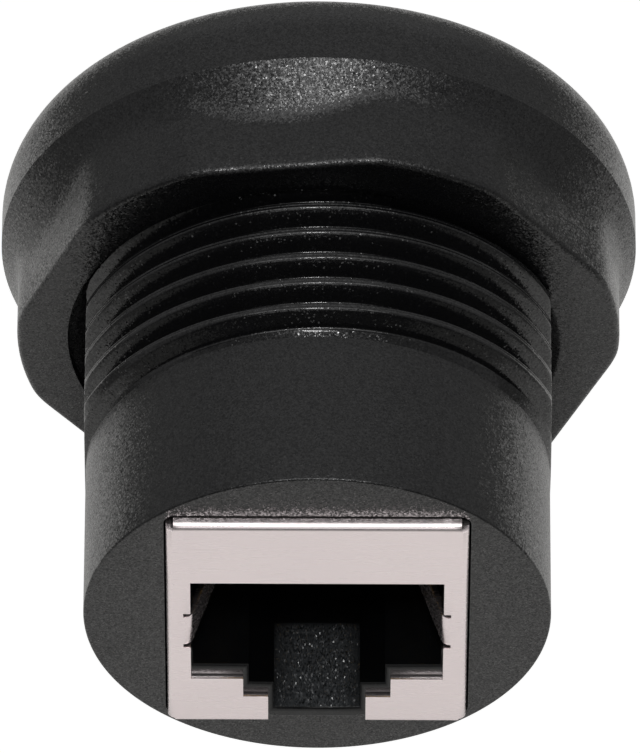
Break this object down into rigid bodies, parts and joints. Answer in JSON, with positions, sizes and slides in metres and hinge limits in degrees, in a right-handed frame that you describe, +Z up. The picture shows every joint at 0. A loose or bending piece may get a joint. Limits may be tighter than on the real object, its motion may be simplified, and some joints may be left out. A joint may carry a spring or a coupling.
{
  "type": "waterproof ethernet coupler",
  "caption": "Panel-mount waterproof network coupler: shielded sockets back to back in a threaded black barrel with a domed bezel, a gasket and a hexagon lock nut.",
  "frame": {"origin": "on the barrel's axis, in the plane where the back of the bezel meets the panel", "axes": "+Y along the barrel, out of the front of the panel, with the rear socket towards -Y; +Z up, with the rear socket's latch keyway at the bottom"},
  "size_m": [0.031, 0.0276, 0.031],
  "materials": {
    "housing_plastic": "black moulded nylon, spark-eroded texture",
    "nut_plastic": "black moulded nylon, spark-eroded texture",
    "gasket_rubber": "black silicone rubber",
    "shield_metal": "nickel-plated sheet",
    "insert_plastic": "black moulded polyester",
    "contact_metal": "gold-plated phosphor bronze",
    "board_laminate": "green solder mask on glass laminate",
    "sealing_resin": "cast black epoxy"
  },
  "bodies": {
    "root": {"housing": "housing_plastic", "lock_nut": "nut_plastic", "panel_gasket": "gasket_rubber", "rear_shield": "shield_metal", "rear_insert": "insert_plastic", "rear_contact_1": "contact_metal", "rear_contact_2": "contact_metal", "rear_contact_3": "contact_metal", "rear_contact_4": "contact_metal", "rear_contact_5": "contact_metal", "rear_contact_6": "contact_metal", "rear_contact_7": "contact_metal", "rear_contact_8": "contact_metal", "link_board": "board_laminate", "sealing_compound": "sealing_resin", "front_shield": "shield_metal", "front_insert": "insert_plastic", "front_contact_1": "contact_metal", "front_contact_2": "contact_metal", "front_contact_3": "contact_metal", "front_contact_4": "contact_metal", "front_contact_5": "contact_metal", "front_contact_6": "contact_metal", "front_contact_7": "contact_metal", "front_contact_8": "contact_metal"}
  },
  "joints": []
}
